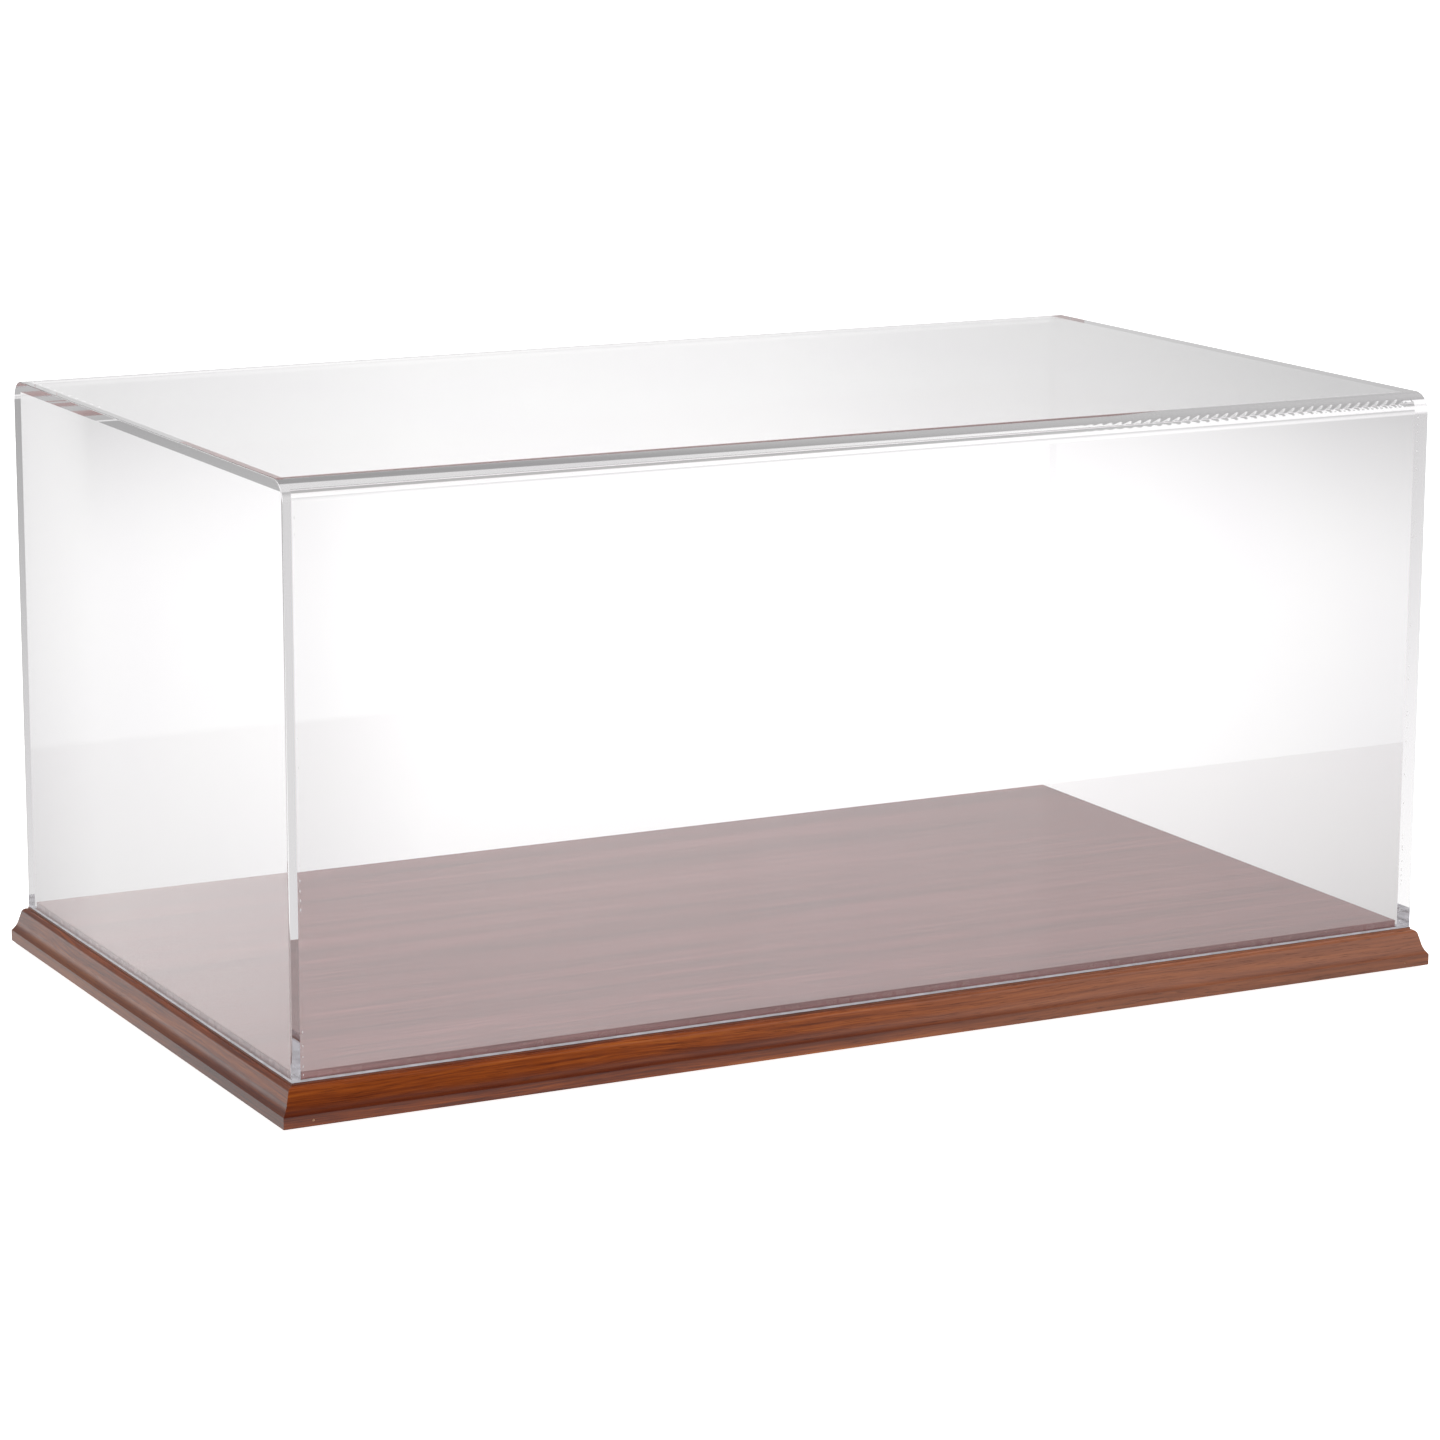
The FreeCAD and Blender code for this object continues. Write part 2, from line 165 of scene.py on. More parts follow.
LIT_DRIFT_REACH = 160 * MM               # the painted light's drift to the paler, hazier end runs this far to each side of the middle
LIT_DRIFT_SHARE = 0.62                   # and ends at this much of that painted lit colour
HOLLOW_FOOT = (4.2 * MM, 6.2 * MM)  # heights where the painted shade in the moulding's hollow comes in
HOLLOW_HEAD = (6.6 * MM, 11.5 * MM)  # and where it fades out again
# colour of the painted shade in the moulding's hollow
HOLLOW_SHADE_COLOUR = rgb(70, 14, 4)


def grain_space(g, along):
    """Coordinates with the timber's length along X and its lines wandering a little."""
    turned = (0.0, 0.0, 0.0) if along == "X" else (0.0, 0.0, math.pi / 2)
    place = g.add("ShaderNodeMapping", Vector=g.place(), Rotation=turned).outputs[0]
    wander = g.math("SUBTRACT", g.noise(place, (6.0, 20.0, 20.0)), 0.5)
    wander = g.product(wander, 10 * MM)
    sideways = g.add("ShaderNodeCombineXYZ", X=0.0, Y=wander, Z=wander)
    shifted = g.fill(g.add("ShaderNodeVectorMath", {"operation": "ADD"}), place, sideways)
    return place, shifted.outputs[0]


def hollow_shaded(g, place, colour, darkest, hollow_shade):
    """Paints shade into the moulding's hollow by deepening the colour there."""
    level = g.along(place, 2)
    hollow = g.product(g.span(level, *HOLLOW_FOOT, smooth=True),
                       g.span(level, *HOLLOW_HEAD, 1.0, 0.0, smooth=True), hollow_shade)
    return g.mix(hollow, colour, g.mix(0.5, darkest, HOLLOW_SHADE_COLOUR))


def wood(name, along, stops, ring_width, pore_depth, coat_rough, haze=0.35, lit_end_colour=None, hollow_shade=0.0):
    """Lacquered timber with its grain along X or Y: broad figure, growth streaks and fine pores.

    Towards +X it drifts to a paler, hazier end colour, painted light and sheen, and the painted shade in
    the moulding's hollow weakens there too.
    """
    material = bpy.data.materials.new(name)
    g = Graph(material)
    place, grain = grain_space(g, along)
    darkest = stops[0][1]

    rings = 1.0 / ring_width
    broad = g.noise(grain, (2.5, 60.0, 60.0), 3.0, 0.55)
    streak = g.noise(grain, (7.0, rings, rings), 4.0, 0.6)
    fine = g.noise(grain, (40.0, 1500.0, 1500.0), 3.0, 0.6)
    pores = g.span(g.noise(grain, (90.0, 2600.0, 2600.0), 2.0, 0.6), 0.58, 0.70)
    figure = g.total(g.product(broad, 0.35), g.product(streak, 0.40), g.product(fine, 0.25))

    colour = g.ramp(figure, stops)
    # Painted light and sheen: towards +X the timber drifts to a paler, hazier colour that stands in for the
    # white sheen there, and the painted shade in the hollow weakens to a third.
    if lit_end_colour is not None:
        away = g.span(g.along(place, 0), -LIT_DRIFT_REACH, LIT_DRIFT_REACH, 0.0, LIT_DRIFT_SHARE, smooth=True)
        colour = g.mix(away, colour, g.mix(figure, stops[1][1], lit_end_colour))
        hollow_shade = g.span(away, 0.0, LIT_DRIFT_SHARE, hollow_shade, hollow_shade / 3)
    # Painted shade: darkens the moulding's hollow, where the cove turns away from the light.
    if hollow_shade:
        colour = hollow_shaded(g, place, colour, darkest, hollow_shade)
    colour = g.mix(g.product(pores, 0.55), colour, darkest)

    height = g.math("SUBTRACT", g.product(fine, 0.3), pores)
    coat = g.span(g.noise(place, 160.0, 3.0), 0.35, 0.65, coat_rough * 0.8, coat_rough * 1.25)
    rough = g.span(figure, 0.3, 0.7, 0.42, 0.55)
    shader = g.add("ShaderNodeBsdfPrincipled", Base_Color=colour, Roughness=rough, IOR=1.45,
                   Specular_IOR_Level=haze, Coat_Weight=1.0, Coat_Roughness=coat, Coat_IOR=1.5,
                   Normal=g.bump(height, pore_depth, 0.1 * MM))
    g.end(shader)
    return material


def shaded(stops, share):
    """The same timber colours, darker or paler by one factor."""
    return [(place, tuple(share * v for v in colour[:3]) + (1.0,)) for place, colour in stops]


TRAPPED_AFTER = 4.5     # a ray still inside the sheet after this many turns leaves it straight


def acrylic(name):
    """Polished clear sheet that bends what is seen through it and lets lamps through."""
    material = bpy.data.materials.new(name)
    g = Graph(material)
    rays = g.add("ShaderNodeLightPath").outputs
    cloud = g.span(g.noise(g.place(), 9.0), 0.3, 0.7)
    colour = g.mix(cloud, (0.990, 0.986, 0.990, 1.0), (0.996, 0.994, 0.994, 1.0))
    glass = g.add("ShaderNodeBsdfGlass", Color=colour, Roughness=0.0, IOR=1.49)
    clear = g.add("ShaderNodeBsdfTransparent", Color=(0.985, 0.985, 0.985, 1.0))
    straight = g.math("MAXIMUM", rays["Is Shadow Ray"], rays["Is Diffuse Ray"])
    straight = g.math("MAXIMUM", straight, g.math("GREATER_THAN", rays["Ray Depth"], TRAPPED_AFTER))
    g.end(g.mix_shaders(straight, glass, clear))
    return material


def bonded(name):
    """The faces two sheets share under the cement: nothing is seen there, light goes straight on."""
    material = bpy.data.materials.new(name)
    g = Graph(material)
    g.end(g.add("ShaderNodeBsdfTransparent", Color=(1.0, 1.0, 1.0, 1.0)))
    return material


def mottled(name, low, high, scale, rough, edge=0.3, detail=3.0, fineness=0.6, bump=0.0, depth=0.1 * MM,
            metallic=0.0):
    """A surface clouded between two colours; edge is how far in from 0 and 1 the clouds reach them."""
    material = bpy.data.materials.new(name)
    g = Graph(material)
    cloud = g.noise(g.place(), scale, detail, fineness)
    if isinstance(rough, tuple):
        rough = g.span(cloud, edge, 1 - edge, *rough)
    shader = g.add("ShaderNodeBsdfPrincipled", Base_Color=g.ramp(cloud, [(edge, low), (1 - edge, high)]),
                   Roughness=rough, Metallic=metallic)
    if bump:
        g.put(shader.inputs["Normal"], g.bump(cloud, bump, depth))
    g.end(shader)
    return material


moulding_stops = [(0.36, rgb(60, 18, 4)), (0.45, rgb(100, 40, 10)), (0.53, rgb(134, 62, 16)),
                  (0.64, rgb(168, 92, 32))]
deck_stops = [(0.36, rgb(92, 56, 54)), (0.46, rgb(108, 70, 68)), (0.54, rgb(120, 80, 78)),
              (0.64, rgb(136, 94, 92))]
# The long mouldings: painted light and sheen paler towards +X, and painted shade in the hollow.
long_wood = wood("moulding_wood_long", "X", moulding_stops, 2.8 * MM, 0.5, 0.12, haze=0.06,
                 lit_end_colour=rgb(176, 122, 92), hollow_shade=0.76)
# The end mouldings: the same timber painted darker by 0.85, painted shade for the sides that get less
# light, and painted shade in the hollow too.
shaded_end_wood = wood("moulding_wood_end_shaded", "Y", shaded(moulding_stops, 0.85), 2.8 * MM, 0.5, 0.18, haze=0.06,
                hollow_shade=0.6)
deck_wood = wood("deck_veneer_wood", "X", shaded(deck_stops, 1.25), 1.6 * MM, 0.25, 0.09)
# The deck's edge bands: the deck's timber painted paler, 1.5 against 1.25 for the top, as painted light on
# the deck's side faces.
lit_band_wood = wood("deck_band_wood", "X", shaded(deck_stops, 1.5), 1.6 * MM, 0.25, 0.25)
clear_acrylic = acrylic("clear_acrylic")
bonded_face = bonded("bonded_face")
sawn_rim = mottled("sawn_rim", rgb(150, 148, 152), rgb(182, 180, 186), (160.0, 160.0, 640.0), 0.6,
                   edge=0.35, bump=0.3)
trapped_air = mottled("trapped_air", rgb(236, 236, 236), rgb(255, 255, 255), (500.0, 500.0, 2000.0), 0.25,
                      edge=0.35, bump=0.3)
filler_wax = mottled("filler_wax", rgb(120, 70, 36), rgb(196, 160, 128), 900.0, 0.5, edge=0.35)
dark_felt = mottled("dark_felt", rgb(28, 24, 22), rgb(66, 58, 54), 2500.0, 0.95, detail=4.0, fineness=0.7,
                    bump=0.8, depth=0.3 * MM)
plated_steel = mottled("plated_steel", rgb(120, 112, 92), rgb(186, 176, 142), 1400.0, (0.25, 0.45),
                       metallic=1.0)
core_board = mottled("core_board", rgb(120, 92, 62), rgb(176, 144, 104), (300.0, 300.0, 1500.0), 0.85,
                     detail=4.0, fineness=0.7, bump=0.4, depth=0.2 * MM)


# ---------------------------------------------------------------- mesh helpers

def mesh_piece(name, vertices, faces, normals=None):
    mesh = bpy.data.meshes.new(name)
    mesh.from_pydata([tuple(v) for v in vertices], [], faces)
    mesh.update()
    for polygon in mesh.polygons:
        polygon.use_smooth = True
    if normals is not None:
        mesh.normals_split_custom_set([tuple(n) for n in normals])
    obj = bpy.data.objects.new(name, mesh)
    scene.collection.objects.link(obj)
    return obj


SHEET, BOND, RIM = 0, 1, 2
SHEET_MATERIALS = (clear_acrylic, bonded_face, sawn_rim)


class Shell:
    """Collects faces with an exact normal at each corner, so flat faces stay flat beside bends."""

    def __init__(self):
        self.vertices, self.faces, self.normals, self.kinds = [], [], [], []
        self.index = {}

    def vertex(self, point):
        key = tuple(round(c, 7) for c in point)
        if key not in self.index:
            self.index[key] = len(self.vertices)
            self.vertices.append(Vector(point))
        return self.index[key]

    def face(self, points, normals, kind=SHEET):
        """Adds a face; normals is one Vector for a flat face, or a list with one for each point."""
        ids = [self.vertex(p) for p in points]
        keep = [i for i in range(len(ids)) if ids[i] != ids[i - 1]]
        if len(keep) < 3:
            return
        self.faces.append([ids[i] for i in keep])
        self.kinds.append(kind)
        if isinstance(normals, Vector):
            normals = [normals] * len(points)
        self.normals += [normals[i] for i in keep]

    def build(self, name):
        obj = mesh_piece(name, self.vertices, self.faces, self.normals)
        for material in SHEET_MATERIALS:
            obj.data.materials.append(material)
        for polygon, kind in zip(obj.data.polygons, self.kinds):
            polygon.material_index = kind
        return obj


# ---------------------------------------------------------------- cover

wrap_low, wrap_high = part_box("cover_wrap")
left_low, left_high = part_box("left_end_panel")
right_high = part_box("right_end_panel")[1]
left_film_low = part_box("left_seam_cement")[0]
right_film_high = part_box("right_seam_cement")[1]
THICK = left_high.x - left_low.x
HALF, TOP = wrap_high.y, wrap_high.z
BEND, INNER_BEND = 8.5 * MM, 0.4 * MM   # outer and inner radius of the two heat bends
BEND_STEPS = 16
EDGE_ROUND = 0.4 * MM                   # eased arris of the end sheets
ROUND_STEPS = 5
FOOT = wrap_low.z + 0.12 * MM           # the rim stands a hair above the ledge: their faces don't coincide

# The arrow-shaped ripples inside the front bend: where they begin and end along X and over what length they
# run out, how far apart, high and slanted they are, how far they reach on the lid and the wall, and how far
# from the bend the rows of vertices lie that carry them.
RIPPLE_FROM, RIPPLE_TO = 85 * MM, 246 * MM
RIPPLE_RUN_OUT = 3 * MM
RIPPLE_PITCH = 4.6 * MM
RIPPLE_STEPS = 9
RIPPLE_HEIGHT = 0.20 * MM
RIPPLE_SLANT = 1.1
LID_REACH, WALL_REACH = 3.6 * MM, 1.0 * MM
RIPPLE_RINGS = [v * MM for v in (0.7, 1.4, 2.1, 2.8, 3.6, 4.5, 5.5, 7.0, 9.0, 11.0)]
WALL_NORMALS = 0.7072   # an outward normal rises less than this on the wall's half of the bend


def arch(half, top, radius, rings=()):
    """Points (y, z), outward normals and distance from the bend's middle, front foot to back foot."""
    rows = [(Vector((-half, FOOT)), Vector((-1, 0)), 1.0)]
    half_arc = radius * math.pi / 4
    for sign, first in ((-1, math.pi), (1, math.pi / 2)):
        centre = Vector((sign * (half - radius), top - radius))
        side = centre + radius * Vector((sign, 0))
        crown = centre + radius * Vector((0, 1))
        wall = [(side + Vector((0, -far)), Vector((sign, 0)), half_arc + far) for far in rings[::-1]]
        arc = []
        for i in range(BEND_STEPS + 1):
            angle = first - math.pi / 2 * i / BEND_STEPS
            out = Vector((math.cos(angle), math.sin(angle)))
            arc.append((centre + out * radius, out, abs(i / BEND_STEPS - 0.5) * 2 * half_arc))
        lid = [(crown + Vector((-sign * far, 0)), Vector((0, 1)), half_arc + far) for far in rings]
        rows += wall + arc + lid if sign < 0 else lid[::-1] + arc + wall[::-1]
    rows.append((Vector((half, FOOT)), Vector((1, 0)), 1.0))
    return rows


outer_arch = [(point, out) for point, out, far in arch(HALF, TOP, BEND)]
inner_arch = arch(HALF - THICK, TOP - THICK, INNER_BEND, RIPPLE_RINGS)


def ripple(x, far, reach):
    """How far the front bend's inner face is drawn in at x, where far is the way to the bend's middle."""
    if not RIPPLE_FROM < x < RIPPLE_TO:
        return 0.0
    share = (x - RIPPLE_FROM) / (RIPPLE_TO - RIPPLE_FROM)
    share *= min(1.0, (RIPPLE_TO - x) / RIPPLE_RUN_OUT)
    fade = math.exp(-(far / reach) ** 2)
    wave = 1 - math.cos(2 * math.pi * (x - RIPPLE_SLANT * far) / RIPPLE_PITCH)
    return RIPPLE_HEIGHT * share * fade * wave


def inner_at(x):
    """The inner outline at station x: 3-D points, and normals that look into the case."""
    tiny = 0.01 * MM
    row = []
    for flat, out, far in inner_arch:
        into = -Vector((0, out.x, out.y))
        on_wall = out.y < WALL_NORMALS
        rise = along = lean = 0.0
        if flat.x < 0:
            reach = WALL_REACH if on_wall else LID_REACH
            rise = ripple(x, far, reach)
            along = (ripple(x + tiny, far, reach) - ripple(x - tiny, far, reach)) / (2 * tiny)
            lean = (ripple(x, far + tiny, reach) - ripple(x, max(far - tiny, 0.0), reach)) / (2 * tiny)
        away = Vector((0, -1, -1)) if on_wall else Vector((0, 1, 1))
        away = (away - into * away.dot(into)).normalized()
        place = Vector((x, flat.x, flat.y)) + into * rise
        row.append((place, (into - Vector((along, 0, 0)) - away * lean).normalized()))
    return row


def end_strips(outside, inside):
    """Quads and fans that fill the U between the outer outline and the finer inner one."""
    rings = len(RIPPLE_RINGS)
    match = [0]
    for bend in range(2):
        start = 1 + bend * (BEND_STEPS + 1 + 2 * rings) + rings
        match += list(range(start, start + BEND_STEPS + 1))
    match.append(len(inside) - 1)
    strips = []
    for i, (low, high) in enumerate(zip(match, match[1:])):
        strips.append([outside[i], outside[i + 1]] + [inside[k] for k in range(high, low - 1, -1)])
    return strips


def build_wrap(name, x_low, x_high, rippled=False):
    """The U-shaped sheet, or a film of its outline, from x_low to x_high."""
    stations = [x_low, x_high]
    if rippled:
        length = RIPPLE_TO - RIPPLE_FROM
        count = int(length / (RIPPLE_PITCH / RIPPLE_STEPS))
        stations[1:1] = [RIPPLE_FROM + length * i / count for i in range(count + 1)]
    rows = [inner_at(x) for x in stations]
    shell = Shell()
    for (p, n), (q, m) in zip(outer_arch, outer_arch[1:]):
        points = [Vector((x, c.x, c.y)) for x, c in ((x_low, p), (x_low, q), (x_high, q), (x_high, p))]
        normals = [Vector((0, k.x, k.y)) for k in (n, m, m, n)]
        shell.face(points[::-1], normals[::-1])
    for near, far in zip(rows, rows[1:]):
        for i in range(len(near) - 1):
            ring = [near[i], near[i + 1], far[i + 1], far[i]]
            shell.face([r[0] for r in ring], [r[1] for r in ring])
    for x, row, out in ((x_low, rows[0], -1), (x_high, rows[-1], 1)):
        for ring in end_strips([Vector((x, c.x, c.y)) for c, n in outer_arch], [r[0] for r in row]):
            if out < 0:
                ring.reverse()
            shell.face(ring[::-1], Vector((out, 0, 0)), BOND)
    y = outer_arch[0][0].x
    front = [Vector((x_high, y, FOOT)), Vector((x_low, y, FOOT))] + [row[0][0] for row in rows]
    back = [Vector((x_low, -y, FOOT)), Vector((x_high, -y, FOOT))] + [row[-1][0] for row in rows[::-1]]
    for rim in (front, back):
        shell.face(rim, Vector((0, 0, -1)), RIM)
    return shell.build(name)


def build_end_panel(name, x_out, x_in):
    """A flat end with its outer arris eased along the front, the bends and the back."""
    toward = 1.0 if x_in > x_out else -1.0
    rings = [(x_in, 0.0, 0.0)]      # x, inset from the outline, angle the normal has turned outwards
    for i in range(ROUND_STEPS + 1):
        angle = math.pi / 2 * i / ROUND_STEPS
        depth = EDGE_ROUND * (1 - math.sin(angle))
        rings.append((x_out + toward * depth, EDGE_ROUND * (1 - math.cos(angle)), angle))

    def at(ring, spot):
        x, inset, angle = ring
        flat = spot[0] - spot[1] * inset
        return Vector((x, flat.x, flat.y))

    def facing(ring, spot):
        out = spot[1] * math.cos(ring[2])
        return Vector((-toward * math.sin(ring[2]), out.x, out.y)).normalized()

    def side(points, normals, kind=SHEET):
        if toward < 0:
            points = points[::-1]
            normals = normals[::-1] if isinstance(normals, list) else normals
        shell.face(points[::-1], normals if isinstance(normals, Vector) else normals[::-1], kind)

    shell = Shell()
    for near, far in zip(rings, rings[1:]):
        for p, q in zip(outer_arch, outer_arch[1:]):
            side([at(near, p), at(far, p), at(far, q), at(near, q)],
                 [facing(near, p), facing(far, p), facing(far, q), facing(near, q)])
    outer_face = [at(rings[-1], p) for p in outer_arch]
    side(outer_face[::-1], Vector((-toward, 0, 0)))
    inward = Vector((toward, 0, 0))
    edge = [Vector((x_in, p.x, p.y)) for p, n in outer_arch]
    window = [Vector((x_in, p.x, p.y)) for p, n, far in inner_arch]
    for strip in end_strips(edge, window):
        side(strip, inward, BOND)
    side(window, inward)
    foot = [at(ring, outer_arch[0]) for ring in rings] + [at(ring, outer_arch[-1]) for ring in rings[::-1]]
    foot += [window[-1], window[0]]
    side(foot[::-1], Vector((0, 0, -1)), RIM)
    return shell.build(name)


wrap = build_wrap("bent_sheet", wrap_low.x, wrap_high.x, rippled=True)
left_panel = build_end_panel("left_end_sheet", left_low.x, left_film_low.x)
right_panel = build_end_panel("right_end_sheet", right_high.x, right_film_high.x)
left_film = build_wrap("left_cement_film", left_film_low.x, wrap_low.x)
right_film = build_wrap("right_cement_film", wrap_high.x, right_film_high.x)


def blob(vertices, faces, centre, size):
    """Adds one flattened ball of trapped air."""
    base = len(vertices)
    around, levels = 8, 4
    vertices.append(centre + Vector((0, 0, size.z)))
    for j in range(1, levels):
        polar = math.pi * j / levels
        for i in range(around):
            turn = 2 * math.pi * i / around
            vertices.append(centre + Vector((size.x * math.sin(polar) * math.cos(turn),
                                             size.y * math.sin(polar) * math.sin(turn),
                                             size.z * math.cos(polar))))
    vertices.append(centre - Vector((0, 0, size.z)))
    last = len(vertices) - 1
    for i in range(around):
        k = (i + 1) % around
        faces.append((base, base + 1 + i, base + 1 + k))
        for j in range(levels - 2):
            a, b = base + 1 + j * around, base + 1 + (j + 1) * around
            faces.append((a + i, b + i, b + k, a + k))
        a = base + 1 + (levels - 2) * around
        faces.append((a + i, last, a + k))


def seam_bubbles(name, spots):
    """One piece with a ball of trapped air at each (centre, size)."""
    vertices, faces = [], []
    for centre, size in spots:
        blob(vertices, faces, centre, size)
    obj = mesh_piece(name, vertices, faces)
    set_material(obj, trapped_air)
    return obj


def upright_spots(x, heights, size):
    """Bubbles of about size mm up the front upright seam, at these heights in mm above the foot."""
    y = -HALF + 0.9 * MM
    return [(Vector((x, y + random.uniform(-0.3, 0.5) * MM, FOOT + h * MM)),
             Vector((0.09, random.uniform(0.7, 1.3) * size, random.uniform(0.7, 1.6) * size)) * MM)
            for h in heights]


def lid_spots(x):
    """A row of long bubbles along the back part of a top seam."""
    count, first, pitch, depth = 10, 11 * MM, 8.8 * MM, 0.3 * MM
    return [(Vector((x, HALF - first - pitch * i, TOP - depth)), Vector((0.5, 1.7, 0.18)) * MM)
            for i in range(count)]


left_x = (left_film_low.x + wrap_low.x) / 2
right_x = (right_film_high.x + wrap_high.x) / 2
left_heights = [2.5, 5.6, 9.4, 13.6, 19.0, 66.0, 69.5, 73.0, 77.0, 83.0, 120.0, 131.0, 207.0, 213.0]
right_heights = [3.0, 8.0] + [random.uniform(12, 200) for _ in range(26)] + [203, 207, 211, 214, 217]
left_spots = upright_spots(left_x, left_heights, 0.45) + lid_spots(left_x)
right_spots = upright_spots(right_x, right_heights, 0.42)
left_bubbles = seam_bubbles("left_seam_bubbles", left_spots)
right_bubbles = seam_bubbles("right_seam_bubbles", right_spots)

for piece, node, slot in ((wrap, "cover_wrap", "acrylic"), (left_panel, "left_end_panel", "acrylic"),
                          (right_panel, "right_end_panel", "acrylic"),
                          (left_film, "left_seam_cement", "cement"),
                          (right_film, "right_seam_cement", "cement")):
    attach(piece, "cover")
    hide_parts(node)
for piece in (left_bubbles, right_bubbles):
    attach(piece, "cover")


# ---------------------------------------------------------------- base

BASE_MATERIALS = {
    long_wood: ("front_moulding", "back_moulding"),
    shaded_end_wood: ("left_moulding", "right_moulding"),
    deck_wood: ("deck_veneer", "deck_backer"),
    lit_band_wood: ("front_edge_band", "back_edge_band", "left_edge_band", "right_edge_band"),
    core_board: ("deck_core",),
    plated_steel: ("deck_screws", "corner_brads"),
    filler_wax: ("brad_filler",),
    dark_felt: ("felt_pads",),
}
for material, names in BASE_MATERIALS.items():
    for name in names:
        set_material(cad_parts[name], material)


# ---------------------------------------------------------------- studio

# What the sheets and the lacquer mirror: a white studio whose brightness depends on the compass bearing
# (degrees from +Y towards +X) and on the level (degrees above the horizon). Each table holds stops of
# (bearing, value).
# LOW_BEARINGS: brightness of the band round LOBE_LEVEL, a little below the horizon.
# SPREAD_BEARINGS, SINK_BEARINGS: how many degrees that band takes to fade above and below that level.
# SKIRT_BEARINGS: brightness under SKIRT_LEVELS, where the band gives way to the ground.
# HIGH_BEARINGS: brightness above the horizon, up to the ceiling.
LOW_BEARINGS = [(-180, 1.18), (-110, 0.90), (-60, 0.60), (-40, 0.85), (-28, 1.25), (-22, 1.45),
                (-19.2, 1.45), (-18.4, 0.78), (-11, 0.78), (-8, 1.0), (8, 1.0), (11, 0.78),
                (18.2, 0.78), (18.8, 0.69), (20, 0.79), (21.3, 0.89), (22.2, 0.92), (23, 1.14),
                (25, 1.24), (28, 1.28), (31, 1.26), (34, 1.08), (36.5, 0.89), (41, 0.78), (60, 0.78),
                (110, 0.95), (180, 1.18)]
SPREAD_BEARINGS = [(-180, 3.7), (-19.2, 3.7), (-18.4, 14.0), (18.2, 14.0), (19, 3.7), (21.5, 6.0),
                   (24, 8.0), (28, 8.0), (31, 6.0), (34, 4.7), (36, 3.9), (41, 5.0), (180, 5.0)]
SINK_BEARINGS = [(-180, 8.0), (18, 8.0), (19, 15.0), (26, 7.8), (180, 7.8)]
SKIRT_BEARINGS = [(-180, 1.12), (-110, 0.92), (-60, 0.70), (-20, 0.80), (0, 0.82), (19, 0.82),
                  (22, 1.12), (28, 1.18), (36, 1.10), (60, 0.80), (110, 0.92), (180, 1.12)]
HIGH_BEARINGS = [(-180, 0.05), (-100, 0.20), (-60, 0.35), (5, 0.35), (14, 0.45), (19, 0.93),
                 (20, 0.95), (23, 0.97), (26, 0.97), (28, 0.91), (30.6, 0.81), (33, 0.745),
                 (34.5, 0.68), (36, 0.65), (60, 0.70), (100, 0.80), (140, 1.20), (144, 1.20),
                 (146.6, 1.05), (149, 0.70), (151.5, 0.22), (154, 0.10), (157, 0.05), (180, 0.05)]
MOST_BRIGHT, MOST_DEGREES = 2.0, 20.0   # the tables' values stay under these
LOBE_LEVEL = -10.7
LOBE_FLOOR = 0.35               # the band never fades below this share
SKIRT_LEVELS = (-15.6, -17.4)
HORIZON_LEVELS = (-6, 5)
CEILING_LEVELS = (30, 52)
CEILING_SIDES = (0.38, 0.62)    # the direction's X part, where the ceiling turns from dim to bright
CEILING_DIM, CEILING_BRIGHT = 0.35, 1.1
CEILING_BACK = (-0.15, 0.15)    # the direction's Y part, where it rises from this share to all of it
CEILING_NEAR = 0.2
DUSK_BEARINGS = (16, 21)        # between these the level under which the ground darkens rises
DUSK_LEVELS = (-26.3, -22.4)
DUSK_SOFT, DUSK_SHARE = 0.7, 0.45
STRIP_LEFT = (-50, -35)         # a narrow bright strip lies on the horizon between these bearings
STRIP_RIGHT = (-12, -18)
STRIP_BRIGHT, STRIP_DEGREES = 1.1, 5.0
SOFT_LIGHT = 0.60               # even light that matt surfaces receive
FLOOR_SOFT_LIGHT = 0.51


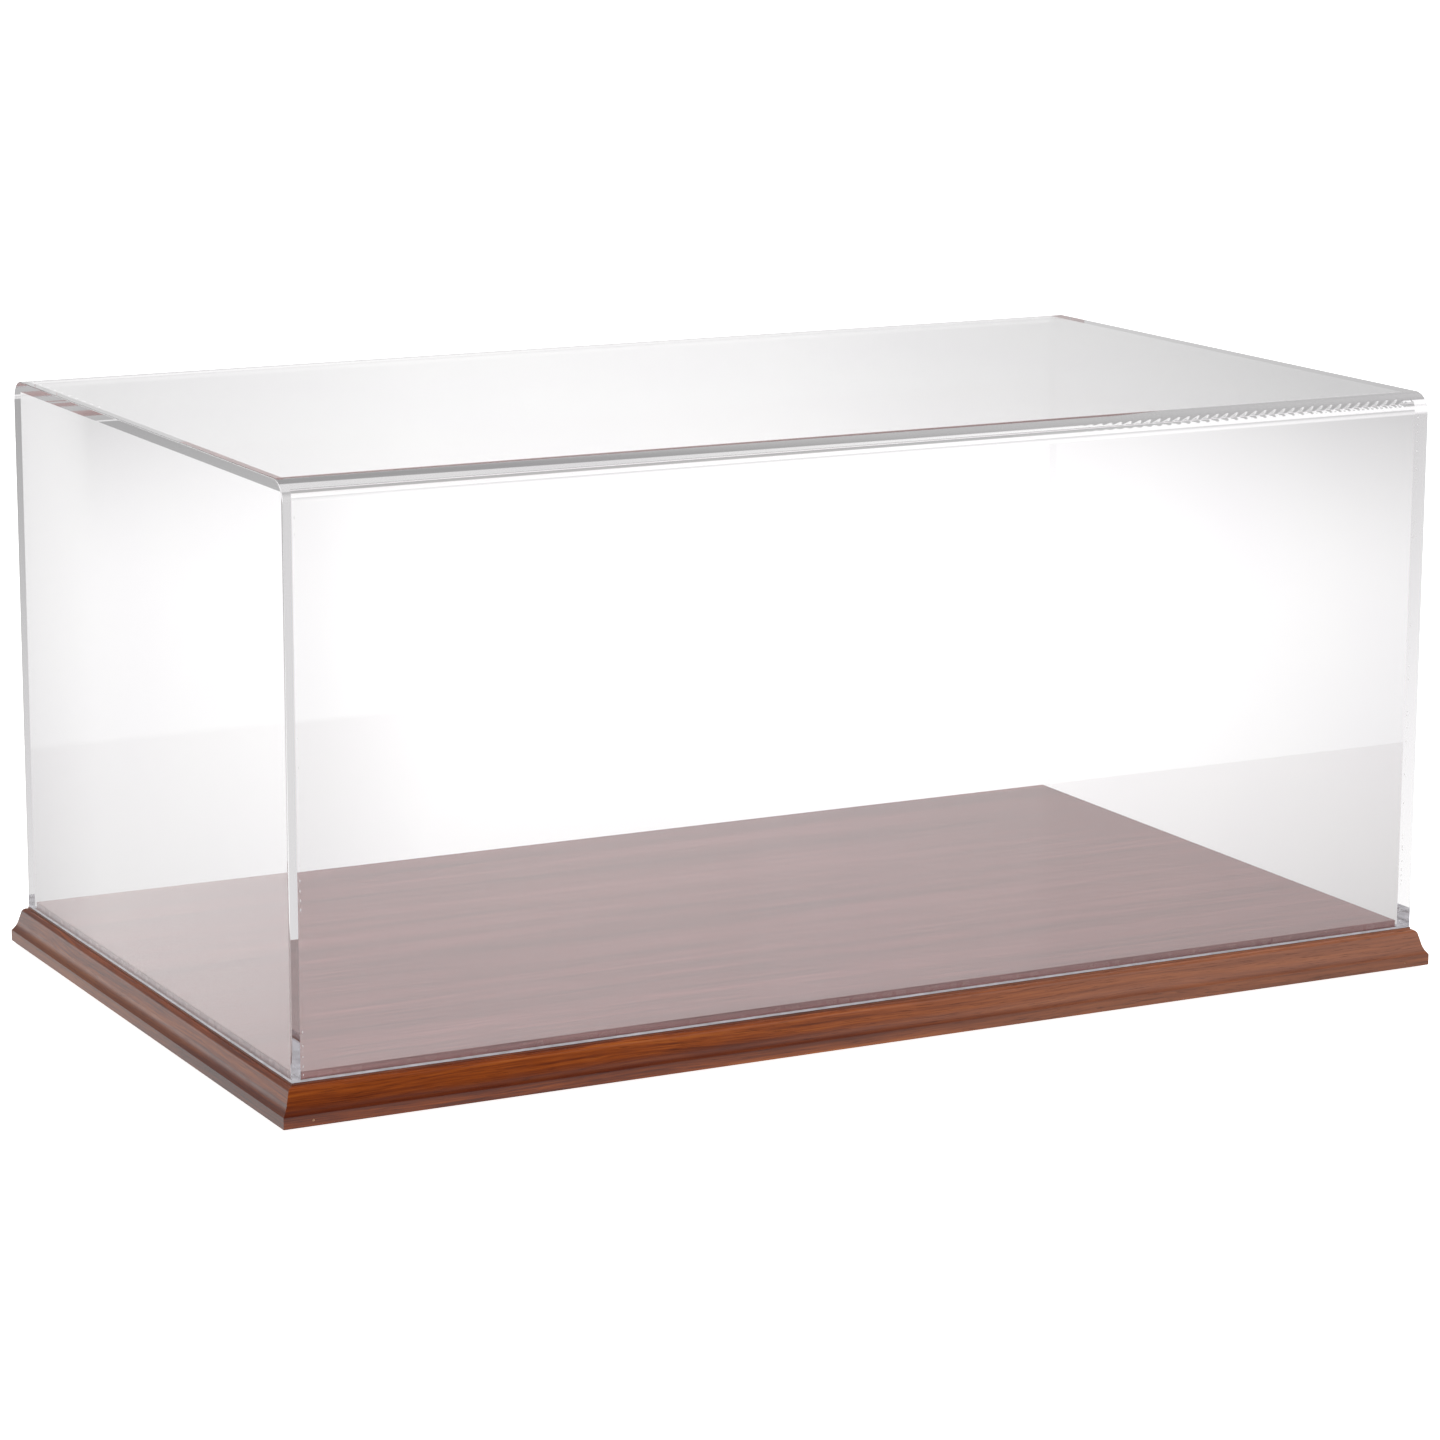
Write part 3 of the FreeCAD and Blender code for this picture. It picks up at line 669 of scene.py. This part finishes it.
def surround(g, direction):
    """How bright the studio is in a direction: a white backdrop with one brighter oval, lit from above."""
    east, north, rise = g.add("ShaderNodeSeparateXYZ", Vector=direction).outputs
    bearing = g.product(g.math("ARCTAN2", east, north), 180 / math.pi)
    rise = g.math("MINIMUM", g.math("MAXIMUM", rise, -1), 1)
    level = g.product(g.math("ARCSINE", rise), 180 / math.pi)
    around = g.span(bearing, -180, 180)

    def by_bearing(table, most=MOST_BRIGHT):
        stops = [((a + 180) / 360, (v / most, v / most, v / most, 1)) for a, v in table]
        return g.product(g.ramp(around, stops), most)

    def bell(value):
        return g.math("EXPONENT", g.product(value, -1.0))

    off = g.math("SUBTRACT", level, LOBE_LEVEL)
    above = g.math("DIVIDE", g.math("MAXIMUM", off, 0.0), by_bearing(SPREAD_BEARINGS, MOST_DEGREES))
    below = g.math("DIVIDE", g.math("MINIMUM", off, 0.0), by_bearing(SINK_BEARINGS, MOST_DEGREES))
    fall = bell(g.total(g.product(above, above), g.product(below, below)))
    low = g.product(by_bearing(LOW_BEARINGS), g.math("MAXIMUM", fall, LOBE_FLOOR))

    edge = g.span(bearing, *DUSK_BEARINGS, *DUSK_LEVELS)
    dusk = g.span(level, g.math("ADD", edge, DUSK_SOFT), g.math("SUBTRACT", edge, DUSK_SOFT),
                  1.0, DUSK_SHARE)
    skirt = g.product(by_bearing(SKIRT_BEARINGS), dusk)
    low = g.between(g.span(level, *SKIRT_LEVELS, smooth=True), low, skirt)

    ceiling = g.product(g.span(east, *CEILING_SIDES, CEILING_DIM, CEILING_BRIGHT, smooth=True),
                        g.span(north, *CEILING_BACK, CEILING_NEAR, 1.0))
    high = g.between(g.span(level, *CEILING_LEVELS, smooth=True), by_bearing(HIGH_BEARINGS), ceiling)
    total = g.between(g.span(level, *HORIZON_LEVELS, smooth=True), low, high)

    near = g.product(level, 1 / STRIP_DEGREES)
    strip = g.product(bell(g.product(near, near)), g.span(bearing, *STRIP_RIGHT, 0.0, STRIP_BRIGHT),
                      g.span(bearing, *STRIP_LEFT))
    return g.total(total, strip)


def studio_light(g, direction, soft):
    """The studio as mirrors and clear sheets see it, and an even soft light for matt surfaces."""
    return g.between(g.add("ShaderNodeLightPath").outputs["Is Diffuse Ray"], surround(g, direction), soft)


def make_world():
    """White where the camera looks straight at it, and the studio in everything else."""
    world = bpy.data.worlds.new("studio")
    scene.world = world
    g = Graph(world, "ShaderNodeOutputWorld")
    direction = g.add("ShaderNodeTexCoord").outputs["Generated"]
    seen = g.add("ShaderNodeLightPath").outputs["Is Camera Ray"]
    strength = g.math("MAXIMUM", studio_light(g, direction, SOFT_LIGHT), seen)
    g.end(g.add("ShaderNodeBackground", Color=(1, 1, 1, 1), Strength=strength))


def make_floor():
    """A pale floor for the camera; in the sheets and the lacquer it mirrors as the studio does."""
    size = 30.0
    floor = mesh_piece("floor", [(-size, -size, 0), (size, -size, 0), (size, size, 0), (-size, size, 0)],
                       [(0, 1, 2, 3)])
    material = bpy.data.materials.new("pale_floor")
    g = Graph(material)
    matt = g.add("ShaderNodeBsdfDiffuse", Color=(0.8, 0.8, 0.8, 1.0))
    glow = g.add("ShaderNodeEmission", Color=(1, 1, 1, 1), Strength=0.93)
    direct = g.fill(g.add("ShaderNodeAddShader"), matt, glow)
    incoming = g.add("ShaderNodeNewGeometry").outputs["Incoming"]
    ahead = g.fill(g.add("ShaderNodeVectorMath", {"operation": "SCALE"}), incoming)
    ahead.inputs["Scale"].default_value = -1.0
    mirrored = g.add("ShaderNodeEmission", Color=(1, 1, 1, 1),
                     Strength=studio_light(g, ahead.outputs[0], FLOOR_SOFT_LIGHT))
    g.end(g.mix_shaders(g.add("ShaderNodeLightPath").outputs["Is Camera Ray"], mirrored, direct))
    set_material(floor, material)


def area_light(name, position, aim, width, height, power):
    """A soft lamp that lights matt surfaces and shows in nothing."""
    light = bpy.data.lights.new(name, "AREA")
    light.shape = "RECTANGLE"
    light.size, light.size_y = width, height
    light.energy = power
    obj = bpy.data.objects.new(name, light)
    scene.collection.objects.link(obj)
    obj.location = position
    obj.rotation_euler = (Vector(aim) - Vector(position)).to_track_quat("-Z", "Y").to_euler()
    obj.visible_glossy = False
    obj.visible_camera = False
    obj.visible_transmission = False


make_world()
make_floor()
area_light("front_fill", (-0.6, -1.8, 1.6), (0, 0, 0.05), 1.6, 1.2, 30.0)
area_light("overhead", (0.0, 0.2, 1.8), (0, 0, 0), 2.2, 1.6, 14.0)


# ---------------------------------------------------------------- camera

CAMERA_PLACE = (-0.87761, -1.68583, 0.51331)
CAMERA_BEARING, CAMERA_TILT, CAMERA_ROLL = 27.5608, -12.1934, 0.2061  # degrees
CAMERA_LENS, CAMERA_SENSOR = 115.4665, 36.0                            # mm

camera_data = bpy.data.cameras.new("camera")
camera_data.sensor_width = CAMERA_SENSOR
camera_data.lens = CAMERA_LENS
camera = bpy.data.objects.new("camera", camera_data)
scene.collection.objects.link(camera)
turn = Matrix.Rotation(-math.radians(CAMERA_BEARING), 4, "Z")
turn @= Matrix.Rotation(math.radians(90 + CAMERA_TILT), 4, "X")
turn @= Matrix.Rotation(math.radians(CAMERA_ROLL), 4, "Z")
camera.matrix_world = Matrix.Translation(CAMERA_PLACE) @ turn
scene.camera = camera

scene.view_settings.view_transform = "Standard"
scene.cycles.max_bounces = 48
scene.cycles.transmission_bounces = 48
scene.cycles.glossy_bounces = 12
scene.cycles.diffuse_bounces = 3
scene.cycles.transparent_max_bounces = 24
